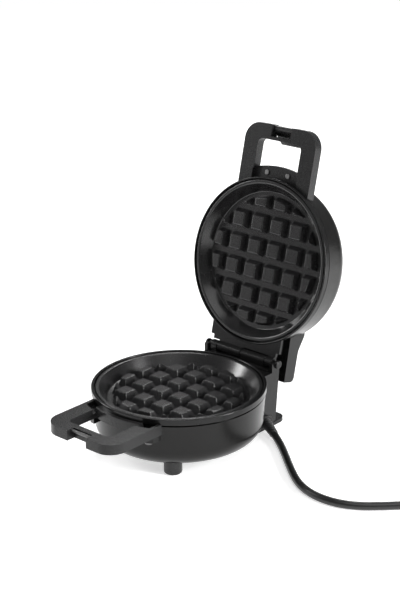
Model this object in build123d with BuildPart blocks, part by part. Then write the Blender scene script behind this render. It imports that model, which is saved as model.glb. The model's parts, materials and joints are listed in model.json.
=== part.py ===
# Mini waffle maker: a bowl-shaped base and a hinged lid, each with a cast plate of square pegs,
# a loop handle on each half, a flip-over latch, and a mains lead. The lid stands open.
# Millimetres. +X is the right side seen from the front, the handles point to -Y, the hinge
# is at the back (+Y), and the table is z = 0. Pieces are drawn about the middle of the bowl
# and set down about the middle of the whole footprint, the lead left out.
import os
from math import atan, cos, degrees, hypot, pi, radians, sin, sqrt, tan

from build123d import *

os.makedirs("parts", exist_ok=True)

# Peg plates
peg_pitch = 19.2
peg_top_width = 10.8
peg_foot_width = 15.0
peg_height = 6.0
peg_corner = 1.4
peg_drop = 4.0            # peg tops below the rim
peg_field_radius = 52.0
land_radius = 55.3
well_radius = 61.4        # mouth of the plate's sloping wall
plate_radius = 64.2
plate_floor = 3.0
lip_top = 0.6             # lip below the rim
lip_thickness = 2.6

# Rims and shells
rim_height = 50.5
closed_gap = 0.4
base_rim_radius = 67.4
lid_rim_radius = 66.6
ring_gap = 1.0
ring_band = 4.7
ring_shelf = 1.6
ring_edge = 0.7
neck_height = 1.2
neck_depth = 2.4
shell_wall = 2.2
shell_step = 0.6          # shell inside the rim band
shell_draft = 1.6         # how far the side leans in on its way down
base_depth = 41.0
base_corner = 14.0
lid_depth = 34.0
lid_corner = 12.0

# Hinge
hinge_y = 75.8
hinge_z = 51.4
open_angle = 103.8
pin_radius = 2.0
pin_clearance = 0.06
knuckle_radius = 4.0
knuckle_gap = 0.9
knuckle_outer_length = 6.4
side_half_width = 35.5
cheek_thickness = 3.0
cheek_front = 69.5
cheek_top = 53.1
pin_cap_radius = 3.4
pin_cap_length = 2.0
leaf_gap = 0.5
leaf_bed = 1.0

footprint_middle = 15.13  # from the middle of the bowl back to the middle of the footprint

# Rear housing
rear_wall = 2.4
rear_foot_y = 73.8
rear_lean = 5.2           # the back leans out on its way up
rear_foot_length = 88.0
rear_foot_half_width = 36.0
rear_foot_thickness = 3.0
rear_foot_corner = 8.0
rear_front = 44.0

# Lid hood
hood_under = 12.1         # below the lid's rim plane, measured towards its back
hood_rise = 1.5
hood_back = 25.6
hood_end = 92.5
hood_corner = 4.0
leaf_thickness = 2.6
leaf_face = 0.6
leaf_end = 71.2
leaf_side_end = 67.8
leaf_web_half_width = 30.0

# Handles
handle_half_width = 35.4
handle_thickness = 8.0
base_handle_reach = 109.0
lid_handle_reach = 107.4
handle_corner = 14.0
grip_half_width = 21.6
grip_bar = 12.0
grip_corner = 4.5
handle_recess_radius = 74.5
handle_recess = 4.0
handle_side_wall = 2.8
lid_recess_half_width = 22.6
base_tab_radius = 70.8
lid_tab_radius = 75.6
notch_half_width = 9.6
base_notch_depth = 7.0
lid_notch_depth = 9.4
lid_screw_x = 10.4
lid_screw_y = 69.5
base_screw_x = 28.4
base_screw_y = 63.6
lug_width = 11.0
lug_thickness = 5.0
lug_margin = 3.4

# Latch
latch_pin_radius = 1.2
latch_pin_inset = 2.4     # latch axis in from the handle's outer edge
latch_pin_depth = 4.0     # latch axis behind the handle's face
latch_barrel_radius = 2.0
latch_arm_thickness = 1.8
latch_arm_offset = 0.4
latch_side_gap = 0.4
latch_turn = 222.0        # how far the clip is flipped back from its hooked place
catch_radius = 1.1
catch_gap = 0.35
catch_drop = 1.4
hook_lip = 1.5
hook_reach = 2.2

# Feet and screws
foot_x = 30.0
foot_y = 40.0
foot_radius = 7.0
foot_edge = 1.6
post_circle = 46.0
post_angle = 20.0
post_radius = 3.6
boss_radius = 4.0
shield_drop = 7.0         # shield below the plate's underside
shield_radius = 57.5
shield_thickness = 0.6
shield_hole = 11.0
screw_radius = 1.4
screw_clearance = 0.15
screw_head_radius = 2.9
screw_head_height = 1.8
lid_screw_head_radius = 2.1
lid_screw_head_height = 0.9

# Heaters and switches
heater_circle = 33.0
heater_radius = 3.2
heater_span = 320.0
heater_pin_length = 6.0
thermostat_radius = 7.5
thermostat_height = 9.0
fuse_radius = 2.5
fuse_length = 20.0
fuse_y = 22.0
block_length = 22.0
block_width = 11.0
block_height = 9.0
block_y = 30.0
lens_radius = 2.6
lens_spacing = 15.0
lens_from_middle = 24.0
lens_height = 1.2
wire_hole = 6.0
base_wire_level = -26.0
lid_wire_level = -19.0

# Mains lead
cord_diameter = 6.0
cord_radius = cord_diameter / 2
cord_exit = Vector(side_half_width, 61.5, 7.1)
collar_radius = 6.0
collar_thickness = 2.0
boot_length = 20.0
boot_radius = 4.4
boot_end_radius = 3.6
coil_radius = 43.0
coil_pitch = 6.8
coil_pitch_out = 10.1
coil_layer = 6.6
coil_turns_in = 2.0
coil_turns_out = 1.25
coil_climb = 0.5          # the last part of the way in, where it climbs
coil_step = 0.125
tail_level = 26.0         # stays on top until it is past the outer turn
tail_drop = 20.0
plug_length = 36.0
plug_width = 26.0
plug_height = 14.0
plug_pin_radius = 2.0
plug_pin_length = 19.0
plug_pin_spacing = 18.6
plug_neck = 10.0
plug_corner = 5.0
plug_edge = 1.2
tie_width = 8.0
tie_thickness = 1.0
tie_gap = 0.3
tie_corner = 4.0
cord_route = [
    (62.6, 46.1, 3.0),
    (79.0, 32.4, 3.0),
    (96.0, 17.4, 3.0),
    (112.0, 4.6, 3.0),
    (126.0, -2.6, 3.0),
    (141.0, -5.4, 3.0),
    (156.5, -3.4, 3.0),
    (170.5, 3.8, 3.0),
    (182.5, 14.8, 3.0),
    (197.5, 30.0, 3.0),
    (215.5, 46.3, 3.0),
]
cord_route_end = (232.6, 63.4, 3.0)



# Places: each half is drawn on its own rim plane, with local Y towards the handle and
# local Z towards the other half when the waffle maker is closed.
turn = radians(open_angle)
towards_handle = Vector(0, -cos(turn), sin(turn))
lid_facing = Vector(0, -sin(turn), -cos(turn))
hinge_point = Vector(0, hinge_y, hinge_z)
lid_rise = rim_height + closed_gap - hinge_z
base_place = Plane(origin=(0, 0, rim_height), x_dir=(-1, 0, 0), z_dir=(0, 0, 1))
lid_place = Plane(
    origin=hinge_point + towards_handle * hinge_y - lid_facing * lid_rise,
    x_dir=(1, 0, 0),
    z_dir=lid_facing,
)

land_level = -(peg_drop + peg_height)
plate_bottom = land_level - plate_floor
ring_inner = plate_radius + ring_gap
shelf_inner = plate_radius - ring_shelf
shelf_level = -(lip_top + lip_thickness)
shell_top = -(ring_band + neck_height)
shield_level = plate_bottom - shield_drop
hinge_axis = Axis((0, hinge_y, hinge_z), (1, 0, 0))


def section(place):
    """The plane through a half's middle axis: radius along X, height along Y."""
    return Plane(origin=place.origin, x_dir=place.x_dir, z_dir=-place.y_dir)


def side(place):
    """The plane of symmetry of a half: local Y along X, height along Y."""
    return Plane(origin=place.origin, x_dir=place.y_dir, z_dir=place.x_dir)


def middle(place):
    return Axis(place.origin, place.z_dir)


def finish(part, name):
    """Sets a piece down in the shared frame and saves it."""
    placed = part.moved(Location((0, -footprint_middle, 0)))
    placed.label = name
    export_step(placed, f"parts/{name}.step")
    print(f"{name}: {len(placed.solids())} solids, {placed.volume:.0f} mm3")


post_spots = [(sx * post_circle * cos(radians(post_angle)), sy * post_circle * sin(radians(post_angle)))
              for sx in (-1, 1) for sy in (-1, 1)]


# Shells
def shell_radii(rim_radius):
    top = rim_radius - shell_step
    return top, top - shell_draft


def shell_outline(rim_radius, depth, corner, inset, top_level):
    """The half profile of a shell, drawn in from its outside by an inset."""
    top, low = shell_radii(rim_radius)
    with BuildLine() as outline:
        Polyline(
            (0, top_level),
            (top - inset, top_level),
            (low - inset, -depth + corner),
        )
        RadiusArc((low - inset, -depth + corner), (low - corner, -depth + inset), corner - inset)
        Polyline((low - corner, -depth + inset), (0, -depth + inset), (0, top_level))
    return outline.line


def shell_core(place, rim_radius, depth, corner, inset=0.0):
    """The solid that a shell's surface encloses."""
    with BuildPart() as core:
        with BuildSketch(section(place)):
            with BuildLine():
                add(shell_outline(rim_radius, depth, corner, inset, shell_top))
            make_face()
        revolve(axis=middle(place))
    return core.part


def make_lugs(place, spots):
    """The ledges on a shell that the handle is screwed to."""
    reach = max(hypot(x, y) for x, y in spots) + lug_margin
    with BuildPart() as lugs:
        with BuildSketch(place.offset(-(peg_drop + handle_thickness))):
            with Locations(*[(x, reach / 2) for x, y in spots]):
                Rectangle(lug_width, reach)
            Circle(reach, mode=Mode.INTERSECT)
        extrude(amount=-lug_thickness)
    return lugs.part


def make_shell(place, rim_radius, depth, corner, screwed, handle_spots, wire_level):
    shelf_bottom = shell_top - shell_wall
    with BuildPart() as shell:
        add(make_lugs(place, handle_spots))
        add(shell_core(place, rim_radius, depth, corner))
        with BuildSketch(place.offset(shell_top)):
            Circle(rim_radius - neck_depth)
        extrude(amount=neck_height)
        with BuildSketch(section(place)):
            with BuildLine():
                add(shell_outline(rim_radius, depth, corner, shell_wall, shelf_bottom))
            make_face()
        revolve(axis=middle(place), mode=Mode.SUBTRACT)
        with BuildSketch(place.offset(shelf_bottom - shell_wall)):
            Circle(shelf_inner)
        extrude(amount=shell_wall * 2 + neck_height, mode=Mode.SUBTRACT)
        # posts that carry the plate
        with BuildSketch(place.offset(-depth + shell_wall / 2)):
            with Locations(*post_spots):
                Circle(post_radius)
        extrude(amount=depth - shell_wall / 2 + shield_level - shield_thickness)
        if screwed:
            with BuildSketch(place.offset(-depth)):
                with Locations(*post_spots):
                    Circle(screw_radius + screw_clearance)
            extrude(amount=depth, mode=Mode.SUBTRACT)
            with BuildSketch(place.offset(-depth)):
                with Locations(*post_spots):
                    Circle(screw_head_radius + screw_clearance)
            extrude(amount=screw_head_height + screw_clearance, mode=Mode.SUBTRACT)
        with BuildSketch(place.offset(-(peg_drop + handle_thickness))):
            with Locations(*handle_spots):
                Circle(screw_radius + screw_clearance)
        extrude(amount=-lug_thickness, mode=Mode.SUBTRACT)
        # hole for the wires, at the hinge side
        with BuildSketch(Plane(origin=place.origin, x_dir=place.x_dir, z_dir=-place.y_dir)):
            with Locations((0, wire_level)):
                Circle(wire_hole)
        extrude(amount=rim_radius, mode=Mode.SUBTRACT)
    return shell.part


def make_ring(place, rim_radius):
    with BuildPart() as ring:
        with BuildSketch(section(place)):
            with BuildLine():
                Polyline(
                    (shelf_inner, -ring_band),
                    (rim_radius, -ring_band),
                    (rim_radius, 0),
                    (ring_inner, 0),
                    (ring_inner, shelf_level),
                    (shelf_inner, shelf_level),
                    close=True,
                )
            make_face()
        revolve(axis=middle(place))
        top_edges = ring.edges().filter_by(GeomType.CIRCLE).filter_by(
            lambda e: abs(e.radius - rim_radius) < 0.01
        )
        fillet(top_edges, ring_edge)
    return ring.part


# Peg plates
def make_pegs(place):
    draft = degrees(atan((peg_foot_width - peg_top_width) / 2 / peg_height))
    with BuildPart() as pegs:
        with BuildSketch(place.offset(land_level)):
            with GridLocations(peg_pitch, peg_pitch, 6, 6):
                RectangleRounded(peg_foot_width, peg_foot_width, peg_corner + 1.2)
        extrude(amount=peg_height, taper=draft)
        with BuildSketch(place.offset(land_level)):
            Circle(peg_field_radius)
        extrude(amount=peg_height, taper=draft, mode=Mode.INTERSECT)
    return pegs.part


def make_plate(place):
    with BuildPart() as plate:
        with BuildSketch(section(place)):
            with BuildLine():
                Polyline(
                    (0, plate_bottom),
                    (land_radius, plate_bottom),
                    (shelf_inner - 0.4, shelf_level),
                    (plate_radius, shelf_level),
                    (plate_radius, -lip_top),
                    (well_radius, -lip_top),
                    (land_radius, land_level),
                    (0, land_level),
                    close=True,
                )
            make_face()
        revolve(axis=middle(place))
        add(make_pegs(place))
        # bosses for the shield and the screws
        with BuildSketch(place.offset(plate_bottom)):
            with Locations(*post_spots):
                Circle(boss_radius)
        extrude(amount=-shield_drop)
        with BuildSketch(place.offset(shield_level)):
            with Locations(*post_spots):
                Circle(screw_radius + screw_clearance)
        extrude(amount=shield_drop, mode=Mode.SUBTRACT)
        # groove for the heater
        with BuildSketch(section(place)):
            with Locations((heater_circle, plate_bottom - heater_radius / 2)):
                Circle(heater_radius + screw_clearance)
        revolve(axis=middle(place), mode=Mode.SUBTRACT)
    return plate.part


def make_heater(place):
    level = plate_bottom - heater_radius / 2
    start = -90 + (360 - heater_span) / 2
    first = Plane(
        origin=place.from_local_coords(Vector(0, 0, 0)),
        x_dir=place.x_dir * cos(radians(start)) + place.y_dir * sin(radians(start)),
        z_dir=place.z_dir,
    )
    with BuildPart() as heater:
        with BuildSketch(section(first)):
            with Locations((heater_circle, level)):
                Circle(heater_radius)
        revolve(axis=middle(place), revolution_arc=heater_span)
        ends = [(heater_circle * cos(radians(a)), heater_circle * sin(radians(a)))
                for a in (start, start + heater_span)]
        with BuildSketch(place.offset(level)):
            with Locations(*ends):
                Circle(heater_radius * 0.8)
        extrude(amount=-heater_pin_length)
    return heater.part


def make_shield(place):
    with BuildPart() as shield:
        with BuildSketch(place.offset(shield_level)):
            Circle(shield_radius)
            Circle(shield_hole, mode=Mode.SUBTRACT)
            with Locations(*post_spots):
                Circle(screw_radius + screw_clearance, mode=Mode.SUBTRACT)
            with Locations((0, -heater_circle)):
                Rectangle(heater_circle, 4 * heater_radius, mode=Mode.SUBTRACT)
        extrude(amount=-shield_thickness)
    return shield.part


# Handles
base_screw_spots = [(-base_screw_x, base_screw_y), (base_screw_x, base_screw_y)]
lid_screw_spots = [(-lid_screw_x, lid_screw_y), (lid_screw_x, lid_screw_y)]


def make_cross_pin(place, y, z, radius, half_length):
    """A straight pin across a handle's notch."""
    with BuildPart() as pin:
        with BuildSketch(side(place)):
            with Locations((y, z)):
                Circle(radius)
        extrude(amount=half_length, both=True)
    return pin.part


def make_handle(
    place, rim_radius, core, reach, recess_half_width, tab_radius, tab_drop, notch_depth, spots, pin
):
    face = -peg_drop
    inside = rim_radius - shell_step - shell_draft
    with BuildPart() as handle:
        with BuildSketch(place.offset(face)):
            with Locations((0, reach / 2)):
                RectangleRounded(2 * handle_half_width, reach, handle_corner)
            with Locations((0, (reach - grip_bar) / 2)):
                RectangleRounded(
                    2 * grip_half_width, reach - grip_bar, grip_corner, mode=Mode.SUBTRACT
                )
            Circle(inside, mode=Mode.SUBTRACT)
        extrude(amount=-handle_thickness)
        # the face steps down beside the rim
        with BuildSketch(place.offset(face)):
            with Locations((0, handle_recess_radius / 2)):
                Rectangle(2 * recess_half_width, handle_recess_radius)
            Circle(handle_recess_radius, mode=Mode.INTERSECT)
        extrude(amount=-handle_recess, mode=Mode.SUBTRACT)
        # curved tab between the arms
        with BuildSketch(place.offset(face - tab_drop)):
            with Locations((0, tab_radius / 2)):
                Rectangle(2 * grip_half_width + 2, tab_radius)
            Circle(tab_radius, mode=Mode.INTERSECT)
            Circle(inside, mode=Mode.SUBTRACT)
        extrude(amount=tab_drop - handle_thickness)
        with BuildSketch(place.offset(face)):
            with Locations((0, reach)):
                Rectangle(2 * notch_half_width, 2 * notch_depth)
        extrude(amount=-handle_thickness, mode=Mode.SUBTRACT)
        add(core, mode=Mode.SUBTRACT)
        # room for the rim band
        with BuildSketch(place.offset(shell_top)):
            Circle(rim_radius)
        extrude(amount=-shell_top, mode=Mode.SUBTRACT)
        with BuildSketch(place.offset(face)):
            with Locations(*spots):
                Circle(screw_radius + screw_clearance)
        extrude(amount=-handle_thickness, mode=Mode.SUBTRACT)
        add(pin, mode=Mode.SUBTRACT)
    return handle.part


def make_screws(place, spots, seat, head_radius, head_height, shank):
    """Pan-head screws: the head stands on the seat, the shank runs the other way."""
    outward = 1 if head_height > 0 else -1
    with BuildPart() as screws:
        with BuildSketch(place.offset(seat)):
            with Locations(*spots):
                Circle(head_radius)
        extrude(amount=head_height)
        with BuildSketch(place.offset(seat)):
            with Locations(*spots):
                Circle(screw_radius)
        extrude(amount=-outward * shank)
    return screws.part


# Base
base_core = shell_core(base_place, base_rim_radius, base_depth, base_corner)
lid_core = shell_core(lid_place, lid_rim_radius, lid_depth, lid_corner)
base_bottom = rim_height - base_depth
catch_y = lid_handle_reach - latch_pin_inset + latch_arm_offset - catch_gap - catch_radius
catch_pin = make_cross_pin(
    base_place, catch_y, -peg_drop - catch_drop, catch_radius, notch_half_width + 3
)

base_housing = make_shell(
    base_place, base_rim_radius, base_depth, base_corner, True, base_screw_spots, base_wire_level
)
finish(base_housing, "base_housing")
finish(make_ring(base_place, base_rim_radius), "base_rim_ring")
finish(make_plate(base_place), "base_plate")
finish(make_heater(base_place), "base_heater")
finish(make_shield(base_place), "base_heat_shield")
finish(
    make_handle(base_place, base_rim_radius, base_core, base_handle_reach,
                handle_half_width - handle_side_wall, base_tab_radius, 0,
                base_notch_depth, base_screw_spots, catch_pin),
    "base_handle",
)
finish(catch_pin, "latch_catch_pin")
finish(
    make_screws(base_place, base_screw_spots, -(peg_drop + handle_thickness + lug_thickness),
                screw_head_radius, -screw_head_height, lug_thickness + handle_thickness / 2),
    "base_handle_screws",
)
finish(
    make_screws(base_place, post_spots, -base_depth + screw_head_height,
                screw_head_radius, -screw_head_height, base_depth - screw_head_height + shield_level + 5),
    "base_plate_screws",
)

with BuildPart() as front_feet:
    with Locations((-foot_x, -foot_y), (foot_x, -foot_y)):
        Cylinder(foot_radius, base_bottom + 4, align=(Align.CENTER, Align.CENTER, Align.MIN))
    fillet(front_feet.edges().group_by(Axis.Z)[0], foot_edge)
    add(base_core, mode=Mode.SUBTRACT)
finish(front_feet.part, "front_feet")

with BuildPart() as thermostat:
    with BuildSketch(base_place.offset(plate_bottom)):
        Circle(thermostat_radius)
    extrude(amount=-thermostat_height)
    with BuildSketch(base_place.offset(plate_bottom)):
        RectangleRounded(3.4 * thermostat_radius, thermostat_radius, 2)
    extrude(amount=-1.2)
finish(thermostat.part, "thermostat")

with BuildPart() as thermal_fuse:
    with BuildSketch(Plane.YZ):
        with Locations((fuse_y, rim_height + shield_level - shield_thickness - fuse_radius)):
            Circle(fuse_radius)
    extrude(amount=fuse_length / 2, both=True)
    with BuildSketch(Plane.YZ):
        with Locations((fuse_y, rim_height + shield_level - shield_thickness - fuse_radius)):
            Circle(fuse_radius / 3)
    extrude(amount=fuse_length, both=True)
finish(thermal_fuse.part, "thermal_fuse")

with BuildPart() as terminal_block:
    with BuildSketch(Plane.XY.offset(base_bottom + shell_wall)):
        with Locations((0, block_y)):
            RectangleRounded(block_length, block_width, 1.2)
    extrude(amount=block_height)
    with BuildSketch(Plane.XY.offset(base_bottom + shell_wall + block_height)):
        with Locations((0, block_y)):
            with GridLocations(block_length / 3, 1, 3, 1):
                Circle(2.0)
    extrude(amount=-block_height / 2, mode=Mode.SUBTRACT)
finish(terminal_block.part, "terminal_block")

# Rear housing
rear_top = hinge_z - knuckle_radius - leaf_gap - leaf_bed
rear_back_y = rear_foot_y + rear_lean
cheek_inside = side_half_width - cheek_thickness
knuckle_end = cheek_inside - knuckle_gap
with BuildPart() as rear_housing:
    with BuildSketch(Plane.YZ):
        with BuildLine():
            Polyline(
                (rear_front, 0),
                (rear_foot_y, 0),
                (rear_back_y, cheek_top),
                (cheek_front, cheek_top),
                (cheek_front, rear_top),
                (rear_front, rear_top),
                close=True,
            )
        make_face()
    extrude(amount=side_half_width, both=True)
    with BuildSketch(Plane.XY):
        with Locations((0, (rear_front + rear_foot_length) / 2)):
            RectangleRounded(
                2 * rear_foot_half_width, rear_foot_length - rear_front, rear_foot_corner
            )
    extrude(amount=rear_foot_thickness)
    # the hollow for the wires
    with BuildSketch(Plane.YZ):
        with BuildLine():
            Polyline(
                (rear_front + rear_wall, rear_foot_thickness + rear_wall),
                (rear_foot_y - rear_wall, rear_foot_thickness + rear_wall),
                (rear_back_y - rear_lean / 8 - rear_wall, rear_top - rear_wall),
                (rear_front + rear_wall, rear_top - rear_wall),
                close=True,
            )
        make_face()
    extrude(amount=side_half_width - rear_wall, both=True, mode=Mode.SUBTRACT)
    # between the cheeks
    with BuildSketch(Plane.XY.offset(rear_top)):
        with Locations((0, rear_back_y)):
            Rectangle(2 * cheek_inside, 2 * (rear_back_y - cheek_front) + 4)
    extrude(amount=cheek_top, mode=Mode.SUBTRACT)
    add(base_core, mode=Mode.SUBTRACT)
    with BuildSketch(base_place.offset(shell_top)):
        Circle(base_rim_radius)
    extrude(amount=-shell_top, mode=Mode.SUBTRACT)
    with BuildSketch(Plane.YZ):
        with Locations((hinge_y, hinge_z)):
            Circle(pin_radius)
    extrude(amount=2 * side_half_width, both=True, mode=Mode.SUBTRACT)
    with BuildSketch(Plane.YZ.offset(side_half_width - rear_wall * 2)):
        with Locations((cord_exit.Y, cord_exit.Z)):
            Circle(boot_radius)
    extrude(amount=rear_wall * 3, mode=Mode.SUBTRACT)
finish(rear_housing.part, "rear_housing")

# Hinge: four knuckles on one pin, by turns on the base leaf and the lid leaf
knuckle_inner = knuckle_end - knuckle_outer_length - knuckle_gap
knuckle_spans = [
    (-knuckle_end, -knuckle_end + knuckle_outer_length),
    (-knuckle_inner, -knuckle_gap / 2),
    (knuckle_gap / 2, knuckle_inner),
    (knuckle_end - knuckle_outer_length, knuckle_end),
]


def make_knuckles(spans, web):
    """Barrels round the hinge axis, each with its web, bored for the pin."""
    with BuildPart() as knuckles:
        for low, high in spans:
            with BuildSketch(Plane.YZ.offset(low)):
                with Locations((hinge_y, hinge_z)):
                    Circle(knuckle_radius)
            extrude(amount=high - low)
            with BuildSketch(Plane.YZ.offset(low)):
                with BuildLine():
                    Polyline(*web, close=True)
                make_face()
            extrude(amount=high - low)
    return knuckles.part


base_web = [
    (hinge_y - knuckle_radius, rear_top),
    (hinge_y + knuckle_radius * 0.7, rear_top),
    (hinge_y + knuckle_radius * 0.7, hinge_z),
    (hinge_y - knuckle_radius, hinge_z),
]
bore = Plane.YZ.offset(-side_half_width)
with BuildPart() as base_hinge_leaf:
    with BuildSketch(Plane.XY.offset(rear_top)):
        with Locations((0, (cheek_front + rear_back_y - 1) / 2)):
            Rectangle(2 * cheek_inside - leaf_gap, rear_back_y - 1 - cheek_front)
    extrude(amount=leaf_bed)
    add(make_knuckles(knuckle_spans[0::2], base_web))
    with BuildSketch(bore):
        with Locations((hinge_y, hinge_z)):
            Circle(pin_radius)
    extrude(amount=2 * side_half_width, mode=Mode.SUBTRACT)
finish(base_hinge_leaf.part, "base_hinge_leaf")


def lid_point(y, z):
    """A point of the lid's side profile, in the table's Y and Z."""
    spot = lid_place.from_local_coords(Vector(0, y, z))
    return (spot.Y, spot.Z)


lid_web = [
    lid_point(-leaf_end + 1, -leaf_face),
    lid_point(-hinge_y, -leaf_face),
    lid_point(-hinge_y, -leaf_face - leaf_thickness),
    lid_point(-leaf_end + 1, -leaf_face - leaf_thickness),
]
with BuildPart() as lid_hinge_leaf:
    with BuildSketch(lid_place.offset(-leaf_face)):
        with Locations((0, -leaf_end + leaf_end / 4)):
            Rectangle(2 * cheek_inside - leaf_gap, leaf_end / 2)
        with Locations((0, -leaf_side_end + leaf_side_end / 4)):
            Rectangle(2 * side_half_width, leaf_side_end / 2)
    extrude(amount=-leaf_thickness)
    with BuildSketch(lid_place.offset(-leaf_face - leaf_thickness)):
        with Locations((0, -leaf_end + 1 + leaf_end / 4)):
            Rectangle(2 * leaf_web_half_width, leaf_end / 2)
    extrude(amount=leaf_face + leaf_thickness - hood_under)
    add(make_knuckles(knuckle_spans[1::2], lid_web))
    with BuildSketch(bore):
        with Locations((hinge_y, hinge_z)):
            Circle(pin_radius + pin_clearance)
    extrude(amount=2 * side_half_width, mode=Mode.SUBTRACT)
    add(lid_core, mode=Mode.SUBTRACT)
    with BuildSketch(lid_place.offset(shell_top)):
        Circle(lid_rim_radius)
    extrude(amount=-shell_top, mode=Mode.SUBTRACT)
finish(lid_hinge_leaf.part, "lid_hinge_leaf")

with BuildPart() as hinge_pin:
    with BuildSketch(bore):
        with Locations((hinge_y, hinge_z)):
            Circle(pin_radius)
    extrude(amount=2 * side_half_width)
    for face_x, outward in ((side_half_width, 1), (-side_half_width, -1)):
        with BuildSketch(Plane.YZ.offset(face_x)):
            with Locations((hinge_y, hinge_z)):
                Circle(pin_cap_radius)
        extrude(amount=outward * pin_cap_length)
    fillet(hinge_pin.edges().group_by(Axis.X)[0], 0.8)
    fillet(hinge_pin.edges().group_by(Axis.X)[-1], 0.8)
finish(hinge_pin.part, "hinge_pin")

# Lid
finish(
    make_shell(lid_place, lid_rim_radius, lid_depth, lid_corner, False, lid_screw_spots,
               lid_wire_level),
    "lid_housing",
)
finish(make_ring(lid_place, lid_rim_radius), "lid_rim_ring")
finish(make_plate(lid_place), "lid_plate")
finish(make_heater(lid_place), "lid_heater")
finish(make_shield(lid_place), "lid_heat_shield")
latch_y = lid_handle_reach - latch_pin_inset
latch_z = -peg_drop - latch_pin_depth
latch_pin = make_cross_pin(lid_place, latch_y, latch_z, latch_pin_radius, notch_half_width + 3)
finish(latch_pin, "latch_pin")
finish(
    make_handle(lid_place, lid_rim_radius, lid_core, lid_handle_reach,
                lid_recess_half_width, lid_tab_radius, handle_recess,
                lid_notch_depth, lid_screw_spots, latch_pin),
    "lid_handle",
)
finish(
    make_screws(lid_place, lid_screw_spots, -peg_drop - handle_recess,
                lid_screw_head_radius, lid_screw_head_height,
                handle_thickness - handle_recess + lug_thickness * 0.8),
    "lid_handle_screws",
)

with BuildPart() as lid_hood:
    with BuildSketch(side(lid_place)) as hood_profile:
        with BuildLine():
            Polyline(
                (-lid_rim_radius * 0.7, -hood_under),
                (-hood_end + 0.6, -hood_under - hood_rise),
                (-hood_end, -hood_back),
                (-lid_rim_radius, -hood_back),
                (-lid_rim_radius + 12, -hood_back - 5),
                (-lid_rim_radius * 0.7, -hood_back - 5),
                close=True,
            )
        make_face()
        back_corner = hood_profile.vertices().sort_by(Axis.X)[0:2]
        fillet(back_corner.sort_by(Axis.Y)[0], hood_corner)
        fillet(back_corner.sort_by(Axis.Y)[-1], hood_corner / 4)
    extrude(amount=side_half_width, both=True)
    with BuildSketch(side(lid_place)):
        with BuildLine():
            Polyline(
                (-lid_rim_radius * 0.7, -hood_under - hood_rise - rear_wall),
                (-hood_end + rear_wall, -hood_under - hood_rise - rear_wall),
                (-hood_end + rear_wall, -hood_back + rear_wall),
                (-lid_rim_radius * 0.7, -hood_back + rear_wall),
                close=True,
            )
        make_face()
    extrude(amount=side_half_width - rear_wall, both=True, mode=Mode.SUBTRACT)
    add(lid_core, mode=Mode.SUBTRACT)
finish(lid_hood.part, "lid_hood")

with BuildPart() as indicator_lenses:
    with BuildSketch(lid_place.offset(-lid_depth)):
        with Locations((-lens_spacing / 2, lens_from_middle), (lens_spacing / 2, lens_from_middle)):
            Circle(lens_radius)
    extrude(amount=-lens_height)
    fillet(indicator_lenses.edges().filter_by(GeomType.CIRCLE).sort_by(Axis.Y)[-2:], 0.5)
finish(indicator_lenses.part, "indicator_lenses")

# Latch clip, flipped back behind the lid's handle
latch_flip = radians(latch_turn)
latch_place = Plane(
    origin=lid_place.from_local_coords(Vector(0, latch_y, latch_z)),
    x_dir=(1, 0, 0),
    z_dir=lid_place.z_dir * cos(latch_flip) + lid_place.y_dir * sin(latch_flip),
)
latch_axis_height = rim_height + closed_gap - latch_z
catch_bottom = rim_height - peg_drop - catch_drop - catch_radius
hook_top = latch_axis_height - catch_bottom + catch_gap
latch_half_width = notch_half_width - latch_side_gap
with BuildPart() as latch_clip:
    with BuildSketch(side(latch_place)):
        Circle(latch_barrel_radius)
        with BuildLine():
            Polyline(
                (latch_arm_offset, 0),
                (latch_arm_offset + latch_arm_thickness, 0),
                (latch_arm_offset + latch_arm_thickness, hook_top + hook_lip),
                (latch_arm_offset - hook_reach, hook_top + hook_lip),
                (latch_arm_offset - hook_reach, hook_top),
                (latch_arm_offset, hook_top),
                close=True,
            )
        make_face()
        Circle(latch_pin_radius + pin_clearance, mode=Mode.SUBTRACT)
    extrude(amount=latch_half_width, both=True)
finish(latch_clip.part, "latch_clip")

# Mains lead
cord_direction = (Vector(*cord_route[0]) - cord_exit).normalized()
route_start = cord_exit + cord_direction * boot_length
with BuildPart() as cord_gland:
    with BuildSketch(Plane.YZ.offset(side_half_width - rear_wall)):
        with Locations((cord_exit.Y, cord_exit.Z)):
            Circle(boot_radius)
    extrude(amount=rear_wall)
    with BuildSketch(Plane.YZ.offset(side_half_width)):
        with Locations((cord_exit.Y, cord_exit.Z)):
            Circle(collar_radius)
    extrude(amount=collar_thickness)
    with BuildSketch(Plane.YZ.offset(side_half_width)):
        with Locations((cord_exit.Y, cord_exit.Z)):
            Circle(boot_radius)
    with BuildSketch(Plane(origin=route_start, z_dir=cord_direction)):
        Circle(boot_end_radius)
    loft()
    add(rear_housing.part, mode=Mode.SUBTRACT)
finish(cord_gland.part, "cord_gland")


def tube_radii(points):
    """The largest arc at each corner of a route."""
    radii = []
    for before, corner, after in zip(points, points[1:], points[2:]):
        run_in = Vector(*corner) - Vector(*before)
        run_out = Vector(*after) - Vector(*corner)
        bend = radians(run_in.get_angle(run_out))
        radii.append(0.45 * min(run_in.length, run_out.length) / tan(bend / 2))
    return radii



route = [tuple(route_start)] + cord_route + [cord_route_end]
route_radii = tube_radii(route)
print("lead: arc radii", [round(radius, 1) for radius in route_radii])
with BuildPart() as cord_run:
    with BuildLine() as run_path:
        FilletPolyline(*route, radius=route_radii)
    with BuildSketch(Plane(origin=route_start, z_dir=cord_direction)):
        Circle(cord_radius)
    sweep(path=run_path.wires()[0])
finish(cord_run.part, "cord_run")


def compare(name, lead, path):
    """Prints a lead's volume against its section times its length."""
    length = path.wires()[0].length
    share = lead.part.volume / (pi * cord_radius ** 2 * length)
    print(f"{name}: length {length:.1f}, volume over section times length {share:.4f}")


compare("cord_run", cord_run, run_path)

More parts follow.
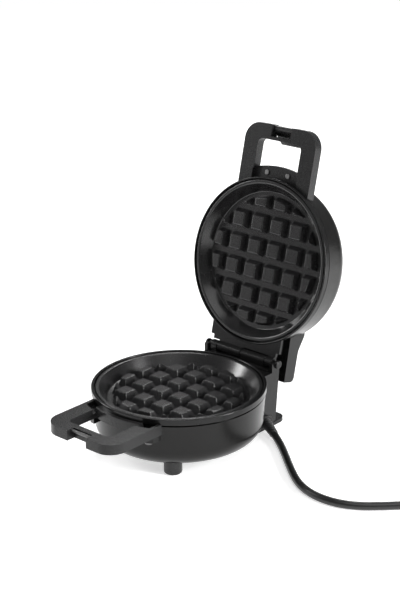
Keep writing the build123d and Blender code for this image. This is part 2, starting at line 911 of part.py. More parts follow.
# Coil: in on the table, up beside the inner turn, and out on top at a wider pitch
coil_start = Vector(*cord_route_end)
coil_heading = (coil_start - Vector(*cord_route[-1])).normalized()
coil_left = Vector(-coil_heading.Y, coil_heading.X, 0)
coil_middle = coil_start + coil_left * coil_radius
coil_top = coil_turns_in + coil_turns_out


def coil_point(turns):
    """A point of the coil after so many turns."""
    radius = coil_radius - coil_pitch * min(turns, coil_turns_in)
    radius += coil_pitch_out * max(turns - coil_turns_in, 0)
    share = min(max((turns - coil_turns_in + coil_climb) / coil_climb, 0), 1)
    lift = coil_layer * (1 - cos(pi * share)) / 2
    angle = 2 * pi * turns
    out = coil_heading * sin(angle) - coil_left * cos(angle)
    return coil_middle + out * radius + Vector(0, 0, lift)


def coil_tangent(turns):
    step = 0.002
    if turns <= 0:
        return coil_heading
    ahead = coil_point(turns + step) - coil_point(turns - step)
    if turns >= coil_top:
        ahead = Vector(ahead.X, ahead.Y, 0)
    return ahead.normalized()


def biarc(start, start_tangent, end, end_tangent):
    """Two arcs that join two points and leave along both tangents."""
    gap = end - start
    along = gap.dot(start_tangent + end_tangent)
    spread = 2 * (1 - start_tangent.dot(end_tangent))
    reach = gap.dot(gap) / (along + sqrt(along ** 2 + spread * gap.dot(gap)))
    knee_in = start + start_tangent * reach
    knee_out = end - end_tangent * reach
    joint = (knee_in + knee_out) / 2
    TangentArc(start, joint, tangent=start_tangent)
    TangentArc(joint, end, tangent=knee_out - knee_in)


coil_stops = [i * coil_step for i in range(round(coil_top / coil_step) + 1)]
tail_heading = coil_tangent(coil_top)
tail_start = coil_point(coil_top) + tail_heading * tail_level
tail_end = tail_start + tail_heading * tail_drop + Vector(0, 0, plug_height / 2 - cord_radius - coil_layer)
with BuildPart() as cord_coil:
    with BuildLine() as coil_path:
        for low, high in zip(coil_stops, coil_stops[1:]):
            biarc(coil_point(low), coil_tangent(low), coil_point(high), coil_tangent(high))
        Line(coil_point(coil_top), tail_start)
        biarc(tail_start, tail_heading, tail_end, tail_heading)
    with BuildSketch(Plane(origin=coil_start, z_dir=coil_heading)):
        Circle(cord_radius)
    sweep(path=coil_path.wires()[0])
finish(cord_coil.part, "cord_coil")
compare("cord_coil", cord_coil, coil_path)
fine_turns = [i / 100 for i in range(round(coil_top * 100) + 1)]
self_gap = min(
    (coil_point(first) - coil_point(second)).length
    for first in fine_turns
    for second in fine_turns
    if second - first > 0.5
)
print(f"cord_coil: least gap between turns {self_gap - cord_diameter:.2f}")

# Tie: an arch over the bundle, at the far side of the coil
tie_middle = (coil_point(0.5) + coil_point(1.5)) / 2
tie_span = (coil_point(0.5) - coil_point(1.5)).length + cord_diameter + 2 * tie_gap
tie_rise = coil_layer + cord_diameter + tie_gap
tie_place = Plane(origin=(tie_middle.X, tie_middle.Y, 0), x_dir=coil_left, z_dir=coil_heading)
with BuildPart() as cord_tie:
    with BuildSketch(tie_place):
        RectangleRounded(tie_span + 2 * tie_thickness, 2 * (tie_rise + tie_thickness), tie_corner)
        RectangleRounded(tie_span, 2 * tie_rise, tie_corner - tie_thickness, mode=Mode.SUBTRACT)
        with Locations((0, -tie_rise)):
            Rectangle(2 * tie_span, 2 * tie_rise, mode=Mode.SUBTRACT)
    extrude(amount=tie_width / 2, both=True)
finish(cord_tie.part, "cord_tie")

# Plug, lying flat beside the coil
plug_across = Vector(-tail_heading.Y, tail_heading.X, 0)
plug_place = Plane(origin=tail_end, x_dir=plug_across, z_dir=tail_heading)
with BuildPart() as plug_body:
    with BuildSketch(plug_place):
        Circle(boot_end_radius)
    with BuildSketch(plug_place.offset(plug_neck)):
        Circle(boot_radius + 1)
    loft()
    with BuildSketch(plug_place.offset(plug_neck)):
        RectangleRounded(plug_width, plug_height, plug_corner)
    extrude(amount=plug_length)
    fillet(plug_body.faces().sort_by(Axis(tail_end, tail_heading))[-1].edges(), plug_edge)
finish(plug_body.part, "plug_body")

with BuildPart() as plug_pins:
    with BuildSketch(plug_place.offset(plug_neck + plug_length)):
        with Locations((-plug_pin_spacing / 2, 0), (plug_pin_spacing / 2, 0)):
            Circle(plug_pin_radius)
    extrude(amount=plug_pin_length)
    fillet(plug_pins.faces().sort_by(Axis(tail_end, tail_heading))[-2:].edges(), plug_edge)
finish(plug_pins.part, "plug_pins")
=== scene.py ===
# %% [markdown]
# # A mini waffle maker, dressed for its picture
# The waffle maker stands open: a round base, a hinged lid, two plates of square pegs, two loop
# handles and a mains lead. Its solids arrive at their real size. This script gives them rounded
# edges, finishes, light and a camera, and lays out the lead.

# %% Load the solids and keep their size
import json
from math import cos, pi, radians, sin

import bpy
from mathutils import Matrix, Vector


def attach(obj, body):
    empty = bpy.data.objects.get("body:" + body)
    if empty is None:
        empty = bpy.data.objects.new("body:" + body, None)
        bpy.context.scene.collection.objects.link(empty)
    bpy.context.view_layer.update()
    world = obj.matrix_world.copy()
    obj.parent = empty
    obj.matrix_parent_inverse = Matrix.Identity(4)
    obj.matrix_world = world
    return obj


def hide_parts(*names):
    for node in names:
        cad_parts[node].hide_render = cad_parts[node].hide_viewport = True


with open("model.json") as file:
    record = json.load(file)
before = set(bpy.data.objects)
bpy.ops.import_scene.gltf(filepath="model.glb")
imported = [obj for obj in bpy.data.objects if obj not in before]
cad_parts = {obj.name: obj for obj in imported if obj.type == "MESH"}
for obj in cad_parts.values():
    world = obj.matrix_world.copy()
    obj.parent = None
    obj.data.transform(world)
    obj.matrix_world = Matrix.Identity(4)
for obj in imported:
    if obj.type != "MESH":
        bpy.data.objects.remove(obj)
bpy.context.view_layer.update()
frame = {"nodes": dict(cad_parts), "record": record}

mm = 0.001
set_back = 15.13         # from the middle of the bowl back to the middle of the footprint
bpy.ops.object.select_all(action="DESELECT")

# %% [markdown]
# ## Camera
# The picture was taken from the front right, a little above the rim. A long lens from about
# 1.2 m keeps the two plates from looking stretched. The angles are set as numbers, because a
# camera that tracks an object would move when the object changes.

# %% Camera
camera_place = Vector((714.1, -783.4, 511.9)) * mm
camera_azimuth = radians(41.994)
camera_elevation = radians(20.572)
camera_roll = radians(-0.487)


def camera_turn(azimuth, elevation, roll):
    """The rotation of a camera that looks along an azimuth and down by an elevation."""
    forward = Vector((
        -sin(azimuth) * cos(elevation),
        cos(azimuth) * cos(elevation),
        -sin(elevation),
    ))
    right = Vector((cos(azimuth), sin(azimuth), 0))
    up = right.cross(forward)
    rolled_right = right * cos(roll) + up * sin(roll)
    rolled_up = up * cos(roll) - right * sin(roll)
    return Matrix((rolled_right, rolled_up, -forward)).transposed().to_euler()


bpy.ops.object.camera_add(
    location=camera_place,
    rotation=camera_turn(camera_azimuth, camera_elevation, camera_roll),
)
camera = bpy.context.object
camera.name = "photo_camera"
camera.data.sensor_fit = "VERTICAL"
camera.data.sensor_height = 36.0
camera.data.lens = 89.53
camera.data.dof.use_dof = False
bpy.context.scene.camera = camera
bpy.context.scene.view_settings.view_transform = "Standard"
print("camera lens", camera.data.lens, "mm")

# %% [markdown]
# ## Shader maths
# A material is a network of nodes, and long networks are hard to read as links. A small class
# wraps one socket, so that a sum of two sockets is written as in Python and adds its own Math
# node.

# %% Sockets that add up


class Signal:
    """One output socket of a material, which can be added to another."""

    def __init__(self, finish, socket):
        self.finish = finish
        self.socket = socket

    def __add__(self, other):
        return self.finish.node("ShaderNodeMath", {"operation": "ADD"}, {0: self, 1: other})

    __radd__ = __add__


class Finish:
    """A material in the making: its nodes, and the shader that they feed."""

    def __init__(self, name, colour, roughness):
        self.material = bpy.data.materials.new(name)
        self.material.use_nodes = True
        self.material.diffuse_color = (*colour, 1)
        self.tree = self.material.node_tree
        self.shader = self.tree.nodes["Principled BSDF"]
        self.set("Base Color", (*colour, 1))
        self.set("Roughness", roughness)

    def node(self, kind, settings, values, output=0):
        """Adds a node: its settings first, then what its sockets hold."""
        made = self.tree.nodes.new(kind)
        stops = settings.pop("stops", None)
        for name, value in settings.items():
            setattr(made, name, value)
        if stops:
            ramp = made.color_ramp.elements
            for spot, (place, colour) in zip(ramp, stops):
                spot.position = place
                spot.color = colour
        for name, value in values.items():
            self.feed(made.inputs[name], value)
        return Signal(self, made.outputs[output])

    def feed(self, socket, value):
        if isinstance(value, Signal):
            self.tree.links.new(value.socket, socket)
        else:
            socket.default_value = value

    def set(self, name, value):
        self.feed(self.shader.inputs[name], value)

    def place(self):
        return self.node("ShaderNodeTexCoord", {}, {}, output="Object")

    def grain(self, scale, detail=3.0, roughness=0.5):
        """Soft noise of a scale in cells per metre, from 0 to 1."""
        values = {"Vector": self.place(), "Scale": scale, "Detail": detail, "Roughness": roughness}
        return self.node("ShaderNodeTexNoise", {}, values)

    def ramp(self, signal, low, high, dark, light):
        """Spreads a signal between two colours."""
        stops = ((low, (*dark, 1)), (high, (*light, 1)))
        return self.node("ShaderNodeValToRGB", {"stops": stops}, {"Fac": signal})

    def spread(self, signal, low, high, lowest, highest):
        """Maps a signal from one range onto another."""
        values = {"Value": signal, "From Min": low, "From Max": high,
                  "To Min": lowest, "To Max": highest}
        return self.node("ShaderNodeMapRange", {}, values)

    def relief(self, height, depth):
        """Bumps the surface by a height from 0 to 1 times a depth in metres."""
        values = {"Height": height, "Distance": depth, "Strength": 1.0}
        self.set("Normal", self.node("ShaderNodeBump", {}, values))


def shade(grey, tint=(1.0, 1.0, 1.0)):
    """A grey with a slight tint."""
    return tuple(grey * part for part in tint)


# %% [markdown]
# ## Finishes
# The shells are moulded plastic with a deep gloss: nearly black, with the faint ripple that
# moulded plastic keeps. A low roughness that wanders a little gives soft, long highlights.

# %% Gloss shell
warm = (1.0, 0.97, 0.94)
cool = (0.985, 0.98, 1.0)


def gloss_shell():
    finish = Finish("gloss_shell", shade(0.008, warm), 0.2)
    cloud = finish.grain(35.0, 4.0)
    finish.set("Base Color", finish.ramp(cloud, 0.35, 0.7, shade(0.004, warm), shade(0.007, warm)))
    finish.set("Roughness", finish.spread(finish.grain(30.0), 0.3, 0.7, 0.19, 0.24))
    finish.set("Specular IOR Level", 0.27)
    finish.relief(finish.grain(55.0, 1.0), 0.00002)
    return finish.material


# %% [markdown]
# The handles, the hinge and the rear housing are satin plastic. Its spark-eroded mould leaves a
# very fine grain, which a noise bump a hundredth of a millimetre deep gives.

# %% Satin mouldings


def satin_moulding(name, low, high, roughness, tint):
    finish = Finish(name, shade(low, tint), roughness)
    cloud = finish.grain(28.0, 5.0, 0.6)
    finish.set("Base Color", finish.ramp(cloud, 0.3, 0.7, shade(low, tint), shade(high, tint)))
    fine = finish.grain(2600.0, 2.0)
    finish.set("Roughness", finish.spread(fine, 0.3, 0.7, roughness - 0.05, roughness + 0.06))
    finish.set("Specular IOR Level", 0.27)
    finish.relief(fine, 0.00001)
    return finish.material


# %% [markdown]
# The plates are cast aluminium under a sprayed non-stick coating: dark grey, with a sheen that
# lights up on every rounded edge and a slight speckle in the coat.

# %% Non-stick coating


def non_stick():
    finish = Finish("non_stick", shade(0.02), 0.32)
    cloud = finish.grain(45.0, 5.0, 0.6)
    body = finish.ramp(cloud, 0.3, 0.7, shade(0.012, cool), shade(0.017, cool))
    finish.set("Base Color", body)
    spray = finish.grain(1500.0, 3.0)
    finish.set("Roughness", finish.spread(spray, 0.3, 0.7, 0.2, 0.26))
    finish.set("Specular IOR Level", 0.5)
    finish.relief(spray, 0.00001)
    return finish.material


# %% [markdown]
# Screws, pins and heaters are steel. Brushing along one direction is a noise that is stretched
# by its Mapping node.

# %% Metals


def drawn_metal(name, grey, roughness):
    finish = Finish(name, shade(grey), roughness)
    stretched = finish.node(
        "ShaderNodeMapping", {}, {"Vector": finish.place(), "Scale": (1500.0, 1500.0, 90.0)}
    )
    lines = finish.node("ShaderNodeTexNoise", {}, {"Vector": stretched, "Scale": 1.0})
    finish.set("Base Color", finish.ramp(lines, 0.3, 0.7, shade(grey * 0.85), shade(grey)))
    finish.set("Roughness", finish.spread(lines, 0.3, 0.7, roughness - 0.06, roughness + 0.08))
    finish.set("Metallic", 1.0)
    finish.relief(lines, 0.00002)
    return finish.material


# %% [markdown]
# The lead's sleeve and the feet are soft, matt plastic. The lamps' lenses are tinted and clear.

# %% Soft plastic and lenses


def soft_sleeve(name, grey, roughness):
    finish = Finish(name, shade(grey), roughness)
    fine = finish.grain(900.0, 3.0)
    finish.set("Base Color", finish.ramp(fine, 0.3, 0.7, shade(grey * 0.85), shade(grey * 1.2)))
    finish.set("Roughness", finish.spread(fine, 0.3, 0.7, roughness - 0.06, roughness + 0.06))
    finish.relief(fine, 0.00004)
    return finish.material


def lamp_lens():
    finish = Finish("lamp_lens", (0.5, 0.03, 0.012), 0.12)
    fine = finish.grain(500.0)
    finish.set("Roughness", finish.spread(fine, 0.3, 0.7, 0.08, 0.16))
    finish.set("Transmission Weight", 0.35)
    finish.relief(fine, 0.00002)
    return finish.material


finishes = {
    "housing": gloss_shell(),
    "rim": satin_moulding("rim_gloss", 0.006, 0.009, 0.2, cool),
    "handle": satin_moulding("handle_satin", 0.015, 0.02, 0.26, cool),
    "fittings": satin_moulding("fittings_satin", 0.006, 0.009, 0.22, cool),
    "plate": non_stick(),
    "steel": drawn_metal("steel", 0.55, 0.32),
    "dark_steel": drawn_metal("dark_steel", 0.13, 0.36),
    "shield": drawn_metal("shield_sheet", 0.75, 0.35),
    "foot": soft_sleeve("foot_matt", 0.006, 0.3),
    "lens": lamp_lens(),
    "block": satin_moulding("block_cream", 0.55, 0.62, 0.5, warm),
    "lead": soft_sleeve("lead_sleeve", 0.009, 0.34),
    "plug": satin_moulding("plug_satin", 0.02, 0.027, 0.45, cool),
    "tie": soft_sleeve("tie_strip", 0.014, 0.5),
}
slot_of = {part["node"]: part["material_slot"] for part in frame["record"]["subparts"]}
bodies = frame["record"]["behaviour"]["bodies"]
body_of = {node: body for body, nodes in bodies.items() for node in nodes}
for name, solid in frame["nodes"].items():
    solid.data.materials.clear()
    solid.data.materials.append(finishes[slot_of[name]])
print("finishes:", len(finishes))

# %% [markdown]
# ## Rounded edges
# Every edge of a moulded or cast piece is a little round, and that is where the light catches.
# The solids have sharp edges, so most visible pieces are copies of their solids: the triangles
# are merged back into flat faces, and a Bevel modifier rounds what is sharper than its angle.
# The modifier's hardened normals keep the flat faces looking flat.

# %% Round the edges of a solid's copy
merge_distance = 0.004 * mm
flat_within = radians(0.6)


def activate(piece):
    bpy.ops.object.select_all(action="DESELECT")
    piece.select_set(True)
    bpy.context.view_layer.objects.active = piece


def settle(piece, node, replaced):
    """Gives a finished piece the finish of its node's slot and its body, and hides the solids that
    it replaces.
    """
    piece.data.materials.clear()
    piece.data.materials.append(finishes[slot_of[node]])
    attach(piece, body_of[node])
    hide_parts(*replaced)


def round_edges(piece, width, steps=3, angle=32):
    """Rounds the edges that are sharper than an angle, and keeps flat faces flat."""
    activate(piece)
    bpy.ops.object.shade_smooth()
    bevel = piece.modifiers.new("edges", "BEVEL")
    bevel.width = width
    bevel.segments = steps
    bevel.limit_method = "ANGLE"
    bevel.angle_limit = radians(angle)
    bevel.use_clamp_overlap = True
    bevel.harden_normals = True
    bpy.ops.object.modifier_apply(modifier=bevel.name)


def rounded_copy(node, name, width):
    """A copy of a solid with its sharp edges rounded, in that solid's place."""
    piece = bpy.data.objects.new(name, frame["nodes"][node].data.copy())
    bpy.context.collection.objects.link(piece)
    activate(piece)
    bpy.ops.object.mode_set(mode="EDIT")
    bpy.ops.mesh.select_all(action="SELECT")
    bpy.ops.mesh.customdata_custom_splitnormals_clear()
    bpy.ops.mesh.remove_doubles(threshold=merge_distance)
    bpy.ops.mesh.dissolve_limited(angle_limit=flat_within)
    bpy.ops.object.mode_set(mode="OBJECT")
    round_edges(piece, width)
    settle(piece, node, [node])
    print(name, "faces:", len(piece.data.polygons))


edge_widths = {
    "base_housing": 0.5,
    "base_handle": 0.9,
    "rear_housing": 0.8,
    "base_hinge_leaf": 0.35,
    "lid_housing": 0.5,
    "lid_handle": 0.9,
    "lid_hood": 0.8,
    "lid_hinge_leaf": 0.35,
    "latch_clip": 0.3,
    "base_handle_screws": 0.35,
    "base_plate_screws": 0.35,
    "lid_handle_screws": 0.35,
    "cord_tie": 0.25,
    "plug_body": 0.8,
}
for node, width in edge_widths.items():
    rounded_copy(node, f"{node}_dressed", width * mm)

# %% [markdown]
# ## Turned pieces
# The rims and the bodies of the plates are round, so they are made as on a lathe: one circle is
# extruded along the axis and resized, step by step, until it has followed the whole profile. The
# sides are then even quads, which round off better than the solids' triangles. Each piece is
# made flat on the origin and set on its half of the waffle maker by one matrix.

# %% Places of the two halves
hinge_y = 75.8
hinge_z = 51.4
open_angle = radians(103.8)
rim_height = 50.5
closed_gap = 0.4
rim_sides = 160
towards_handle = Vector((0, -cos(open_angle), sin(open_angle)))
lid_facing = Vector((0, -sin(open_angle), -cos(open_angle)))
lid_rise = rim_height + closed_gap - hinge_z
lid_middle = Vector((0, hinge_y - set_back, hinge_z)) + towards_handle * hinge_y
lid_middle -= lid_facing * lid_rise


def half_place(x_axis, y_axis, z_axis, middle):
    """A matrix that sets a piece on a half's rim plane."""
    turned = Matrix((x_axis, y_axis, z_axis)).transposed().to_4x4()
    return Matrix.Translation(middle * mm) @ turned


places = {
    "base": half_place(
        Vector((-1, 0, 0)), Vector((0, -1, 0)), Vector((0, 0, 1)), Vector((0, -set_back, rim_height))
    ),
    "lid": half_place(Vector((1, 0, 0)), towards_handle, lid_facing, lid_middle),
}


def set_down(piece, half):
    """Applies a half's place to a piece's mesh."""
    activate(piece)
    piece.matrix_world = places[half]
    bpy.ops.object.transform_apply(location=True, rotation=True, scale=True)


# %% Lathe


def turn_profile(name, profile, hollow):
    """Follows a closed profile of radius and height with one circle of edges."""
    bpy.ops.object.select_all(action="DESELECT")
    radius, height = profile[0]
    bpy.ops.mesh.primitive_circle_add(
        vertices=rim_sides,
        radius=radius * mm,
        location=(0, 0, height * mm),
        fill_type="NOTHING" if hollow else "NGON",
    )
    piece = bpy.context.object
    piece.name = name
    bpy.ops.object.transform_apply(location=True, rotation=True, scale=True)
    bpy.ops.object.mode_set(mode="EDIT")
    bpy.ops.mesh.select_all(action="SELECT")
    for next_radius, next_height in profile[1:]:
        step = (0, 0, (next_height - height) * mm)
        bpy.ops.mesh.extrude_region_move(TRANSFORM_OT_translate={"value": step})
        scale = next_radius / radius
        bpy.ops.transform.resize(value=(scale, scale, 1))
        radius, height = next_radius, next_height
    if hollow:
        bpy.ops.mesh.select_all(action="DESELECT")
        bpy.ops.mesh.select_mode(type="EDGE")
        bpy.ops.mesh.select_non_manifold(extend=False)
        bpy.ops.mesh.bridge_edge_loops()
    bpy.ops.mesh.select_all(action="SELECT")
    bpy.ops.mesh.normals_make_consistent(inside=False)
    bpy.ops.object.mode_set(mode="OBJECT")
    return piece


# %% [markdown]
# The rims are narrow bands with a step inside, on which the plate's lip lies. Their rounded
# edges are the light lines that ring both halves in the picture.

# %% Rims
ring_inner = 65.2
ring_shelf_inner = 62.6
ring_band = 4.7
ring_shelf_level = -3.2
rim_radii = {"base": 67.4, "lid": 66.6}
rim_edge = 0.55
for half, rim_radius in rim_radii.items():
    rim_profile = [
        (rim_radius, -ring_band),
        (rim_radius, 0),
        (ring_inner, 0),
        (ring_inner, ring_shelf_level),
        (ring_shelf_inner, ring_shelf_level),
        (ring_shelf_inner, -ring_band),
    ]
    rim = turn_profile(f"{half}_rim_dressed", rim_profile, hollow=True)
    round_edges(rim, rim_edge * mm, steps=3)
    set_down(rim, half)
    settle(rim, f"{half}_rim_ring", [f"{half}_rim_ring"])
    print(rim.name, "faces:", len(rim.data.polygons))

# %% [markdown]
# ## Peg plates
# A waffle plate is a shallow well with rows of square pegs. A peg is modelled from a cube at each
# place of the grid: its top is drawn in for the draft that a casting needs. The pegs at the
# border are cut to the field's circle by a Boolean modifier, and all edges are rounded, so that
# each edge catches a line of light. Only the upper side is like the solid. The underside is
# plain, without the solid's bosses and groove, and the pegs' feet are sunk into the land as
# closed forms of their own.

# %% Body of a plate
peg_pitch = 19.2
peg_foot = 15.0
peg_top = 10.8
peg_height = 6.0
peg_sink = 1.2
peg_count = 6
peg_edge = 0.65
land_level = -10.0
land_radius = 55.3
well_radius = 61.4
plate_radius = 64.2
lip_level = -0.6
lip_under = -3.2
plate_under = -13.0
plate_seat_gap = 0.4
plate_edge = 0.7
plate_edge_angle = 25
field_radius = 52.0
field_top_radius = field_radius - (peg_foot - peg_top) / 2
plate_profile = [
    (land_radius, plate_under),
    (ring_shelf_inner - plate_seat_gap, lip_under),
    (plate_radius, lip_under),
    (plate_radius, lip_level),
    (well_radius, lip_level),
    (land_radius, land_level),
]


def plate_body():
    body = turn_profile("plate_body", plate_profile, hollow=False)
    round_edges(body, plate_edge * mm, steps=3, angle=plate_edge_angle)
    return body


# %% Pegs
peg_edge_angle = 28
cutter_sides = 96
empty_reach = peg_foot * 0.6     # a peg whose middle is farther outside the field is left out
cut_reach = peg_foot * 0.7       # one that comes nearer its edge than this is cut
fewest_faces = 4


def choose_faces(piece, wanted):
    """Selects the faces that a test picks, in edit mode."""
    bpy.ops.object.mode_set(mode="OBJECT")
    for corner in piece.data.vertices:
        corner.select = False
    for edge in piece.data.edges:
        edge.select = False
    for face in piece.data.polygons:
        face.select = wanted(face)
    bpy.ops.object.mode_set(mode="EDIT")


def square_peg(x, y):
    """A tapered peg with its foot sunk into the land."""
    full = peg_height + peg_sink
    slope = (peg_foot - peg_top) / peg_height
    foot = peg_foot + slope * peg_sink
    bpy.ops.mesh.primitive_cube_add(
        size=1,
        location=(x * mm, y * mm, (land_level - peg_sink + full / 2) * mm),
        scale=(foot * mm, foot * mm, full * mm),
    )
    peg = bpy.context.object
    bpy.ops.object.transform_apply(location=True, rotation=True, scale=True)
    bpy.ops.object.mode_set(mode="EDIT")
    bpy.ops.mesh.select_mode(type="FACE")
    choose_faces(peg, lambda face: face.normal.z > 0.9)
    bpy.ops.transform.resize(value=(peg_top / foot, peg_top / foot, 1))
    bpy.ops.object.mode_set(mode="OBJECT")
    return peg


def field_cutter():
    """The tapered disc that bounds the field of pegs."""
    low = land_level - peg_sink * 2
    high = land_level + peg_height + peg_sink
    slope = (field_radius - field_top_radius) / peg_height
    bpy.ops.mesh.primitive_cone_add(
        vertices=cutter_sides,
        radius1=(field_radius + slope * peg_sink * 2) * mm,
        radius2=(field_top_radius - slope * peg_sink) * mm,
        depth=(high - low) * mm,
        location=(0, 0, (low + high) / 2 * mm),
    )
    cutter = bpy.context.object
    bpy.ops.object.transform_apply(location=True, rotation=True, scale=True)
    return cutter


def peg_field():
    """All the pegs of one plate, the border ones cut to the circle."""
    pegs = []
    cutter = field_cutter()
    first = -(peg_count - 1) / 2 * peg_pitch
    for row in range(peg_count):
        for column in range(peg_count):
            x = first + column * peg_pitch
            y = first + row * peg_pitch
            reach = Vector((x, y)).length
            if reach - empty_reach > field_radius:
                continue
            bpy.ops.object.select_all(action="DESELECT")
            peg = square_peg(x, y)
            if reach + cut_reach > field_top_radius:
                cut = peg.modifiers.new("field", "BOOLEAN")
                cut.operation = "INTERSECT"
                cut.solver = "EXACT"
                cut.object = cutter
                bpy.ops.object.modifier_apply(modifier=cut.name)
            if len(peg.data.polygons) < fewest_faces:
                bpy.data.objects.remove(peg)
                continue
            round_edges(peg, peg_edge * mm, steps=3, angle=peg_edge_angle)
            pegs.append(peg)
    bpy.data.objects.remove(cutter)
    return pegs


def peg_plate(half):
    body = plate_body()
    pegs = peg_field()
    bpy.ops.object.select_all(action="DESELECT")
    for piece in pegs + [body]:
        piece.select_set(True)
    bpy.context.view_layer.objects.active = body
    bpy.ops.object.join()
    body.name = f"{half}_plate_dressed"
    set_down(body, half)
    settle(body, f"{half}_plate", [f"{half}_plate"])
    print(body.name, "pegs:", len(pegs), "faces:", len(body.data.polygons))


peg_plate("base")
peg_plate("lid")

# %% [markdown]
# ## Mains lead
# A lead is one length of something flexible. It is a NURBS curve through the route's points,
# with a round section, and the part of it that the picture doesn't show is wound into two layers
# of a neat coil, held by a tie.

# %% Lead
lead_diameter = 6.0 * mm
lead_route = [
    (62.6, 46.1, 3.0),
    (79.0, 32.4, 3.0),
    (96.0, 17.4, 3.0),
    (112.0, 4.6, 3.0),
    (126.0, -2.6, 3.0),
    (141.0, -5.4, 3.0),
    (156.5, -3.4, 3.0),
    (170.5, 3.8, 3.0),
    (182.5, 14.8, 3.0),
    (197.5, 30.0, 3.0),
    (215.5, 46.3, 3.0),
    (232.6, 63.4, 3.0),
]
housing_exit = Vector((35.5, 61.5, 7.1))
relief_length = 20.0
lead_direction = (Vector(lead_route[0]) - housing_exit).normalized()
lead_start = housing_exit + lead_direction * relief_length

coil_radius = 43.0
coil_pitch = 6.8
coil_pitch_out = 10.1
coil_layer = 6.6
coil_turns_in = 2.0
coil_turns = 3.25
coil_climb = 0.5
coil_points_each_turn = 16
tail_level = 26.0
tail_drop = 20.0
plug_axis_height = 7.0

coil_start = Vector(lead_route[-1])
coil_heading = (coil_start - Vector(lead_route[-2])).normalized()
coil_left = Vector((-coil_heading.y, coil_heading.x, 0))
coil_middle = coil_start + coil_left * coil_radius


def coil_point(turns):
    """A point of the coil after so many turns."""
    radius = coil_radius - coil_pitch * min(turns, coil_turns_in)
    radius += coil_pitch_out * max(turns - coil_turns_in, 0)
    share = min(max((turns - coil_turns_in + coil_climb) / coil_climb, 0), 1)
    lift = coil_layer * (1 - cos(pi * share)) / 2
    angle = 2 * pi * turns
    out = coil_heading * sin(angle) - coil_left * cos(angle)
    return coil_middle + out * radius + Vector((0, 0, lift))


coil_count = round(coil_turns * coil_points_each_turn)
coil_points = [coil_point(i / coil_points_each_turn) for i in range(1, coil_count + 1)]
tail_heading = coil_point(coil_turns) - coil_point(coil_turns - 0.002)
tail_heading.z = 0
tail_heading.normalize()
tail_start = coil_points[-1] + tail_heading * tail_level
tail_end = tail_start + tail_heading * tail_drop
tail_middle = (tail_start + tail_end) / 2
tail_end.z = plug_axis_height
lead_line = [lead_start] + [Vector(point) for point in lead_route] + coil_points
lead_line += [tail_start - tail_heading * tail_level / 2, tail_start, tail_middle, tail_end]


def in_frame(point):
    """A route point, in metres from the middle of the footprint."""
    return Vector((point.x, point.y - set_back, point.z)) * mm


lead_curve = bpy.data.curves.new("mains_lead", "CURVE")
lead_curve.dimensions = "3D"
lead_curve.bevel_depth = lead_diameter / 2
lead_curve.bevel_resolution = 7
lead_curve.resolution_u = 5
lead_spline = lead_curve.splines.new("NURBS")
lead_spline.points.add(len(lead_line) - 1)
for spot, point in zip(lead_spline.points, lead_line):
    spot.co = (*in_frame(point), 1)
lead_spline.order_u = 3
lead_spline.use_endpoint_u = True
lead = bpy.data.objects.new("mains_lead", lead_curve)
bpy.context.collection.objects.link(lead)
lead_curve.materials.append(finishes["lead"])
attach(lead, "base")
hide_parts("cord_run", "cord_coil")
print("lead points:", len(lead_line))

# %% [markdown]
# ## Strain relief
# Where the lead leaves the housing, a tapered rubber boot spreads its bend. Real ones are cut
# into rings, so that they flex. It is made from one circle, extruded ring by ring and resized,
# then turned to the lead's direction.

# %% Strain relief
relief_rings = 6
relief_thick = 4.4
relief_thin = 3.5
ring_depth = 0.6
flange_radius = 6.0
flange_length = 2.2
neck_step = 0.2
neck_extra = 0.5
end_allowance = 0.4
ring_slope = 0.05        # shares of the pitch: slopes, ring and groove
ring_share = 0.62
groove_share = 0.28
relief_edge = 0.15
relief_sunk = 0.2


def ring_out(length, scale):
    """Extrudes the selected edge ring upwards, then resizes it."""
    bpy.ops.mesh.extrude_region_move(TRANSFORM_OT_translate={"value": (0, 0, length * mm)})
    bpy.ops.transform.resize(value=(scale, scale, 1))


def strain_relief():
    bpy.ops.mesh.primitive_circle_add(vertices=40, radius=flange_radius * mm, fill_type="NGON")
    piece = bpy.context.object
    piece.name = "strain_relief"
    bpy.ops.object.mode_set(mode="EDIT")
    bpy.ops.mesh.select_all(action="SELECT")
    radius = flange_radius
    steps = [(flange_length, flange_radius), (neck_step, relief_thick + neck_extra)]
    pitch = (relief_length - flange_length - end_allowance) / relief_rings
    for ring in range(relief_rings):
        taper = relief_thick + (relief_thin - relief_thick) * (ring + 1) / relief_rings
        groove = taper - ring_depth
        steps += [(pitch * ring_slope, taper), (pitch * ring_share, taper)]
        steps += [(pitch * ring_slope, groove), (pitch * groove_share, groove)]
    for length, wanted in steps:
        ring_out(length, wanted / radius)
        radius = wanted
    bpy.ops.mesh.select_all(action="SELECT")
    bpy.ops.mesh.normals_make_consistent(inside=False)
    bpy.ops.object.mode_set(mode="OBJECT")
    bpy.ops.object.shade_smooth_by_angle(angle=radians(40))
    bevel = piece.modifiers.new("edges", "BEVEL")
    bevel.width = relief_edge * mm
    bevel.segments = 2
    bpy.ops.object.modifier_apply(modifier=bevel.name)
    piece.rotation_euler = lead_direction.to_track_quat("Z", "Y").to_euler()
    piece.location = in_frame(housing_exit - lead_direction * relief_sunk)
    bpy.ops.object.transform_apply(location=True, rotation=True, scale=True)
    settle(piece, "cord_gland", ["cord_gland"])


bpy.ops.object.select_all(action="DESELECT")
strain_relief()

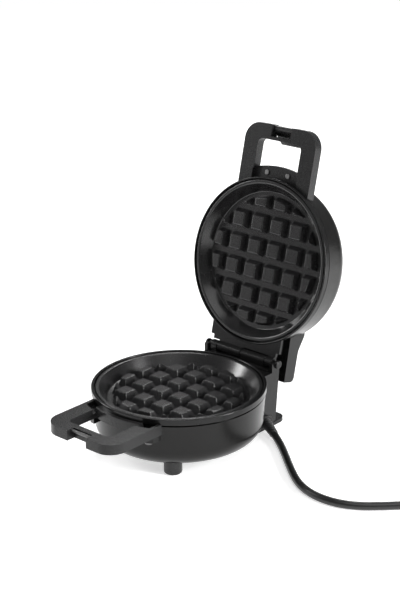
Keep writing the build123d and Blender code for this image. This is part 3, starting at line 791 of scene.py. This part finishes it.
# %% [markdown]
# ## Studio
# A white floor fills the picture. It glows a little for the rays that see it, which lifts it to
# white and leaves the object's soft shadow. A broad sun lights all of the floor alike. Three
# soft boxes, left, right and behind, draw the highlights on the gloss. The world is a dim grey,
# which keeps the blacks deep.

# %% Floor and backdrop
floor_size = 60.0
floor_glow = 0.55


def studio_white():
    finish = Finish("studio_white", shade(0.85), 0.9)
    finish.set("Specular IOR Level", 0.0)
    finish.set("Base Color", finish.ramp(finish.grain(1.5), 0.3, 0.7, shade(0.84), shade(0.86)))
    paths = ("Is Camera Ray", "Is Glossy Ray", "Is Transmission Ray")
    seen = 0.0
    for path in paths:
        seen = finish.node("ShaderNodeLightPath", {}, {}, output=path) + seen
    glow = finish.node("ShaderNodeCombineColor", {}, {0: seen, 1: seen, 2: seen})
    finish.set("Emission Color", glow)
    finish.set("Emission Strength", floor_glow)
    return finish.material


bpy.ops.mesh.primitive_plane_add(size=floor_size, location=(0, 0, 0))
floor = bpy.context.object
floor.name = "studio_floor"
floor.data.materials.append(studio_white())

# %% Lamps
centre = Vector((0, 0, 0.1))


def studio_lamp(kind, name, place, energy):
    """A lamp that points at the middle of the waffle maker."""
    bpy.ops.object.light_add(type=kind, location=place)
    lamp = bpy.context.object
    lamp.name = name
    lamp.data.energy = energy
    lamp.rotation_euler = (centre - Vector(place)).to_track_quat("-Z", "Y").to_euler()
    return lamp


def soft_box(name, place, width, height, energy):
    """A standing box of soft light."""
    lamp = studio_lamp("AREA", name, place, energy)
    lamp.data.shape = "RECTANGLE"
    lamp.data.size = width
    lamp.data.size_y = height


sun = studio_lamp("SUN", "broad_sun", (0.5, -0.3, 1.6), 1.0)
sun.data.angle = radians(50)
soft_box("left_box", (-1.1, -0.55, 0.5), 0.3, 0.8, 12.0)
soft_box("right_box", (0.9, 0.25, 0.3), 0.2, 0.55, 14.0)
soft_box("back_box", (-0.55, 0.7, 0.9), 0.5, 0.25, 6.0)

# %% World
world_strength = 0.2
world = bpy.data.worlds.new("studio")
bpy.context.scene.world = world
world.use_nodes = True
background = world.node_tree.nodes["Background"]
background.inputs["Color"].default_value = (1, 1, 1, 1)
background.inputs["Strength"].default_value = world_strength
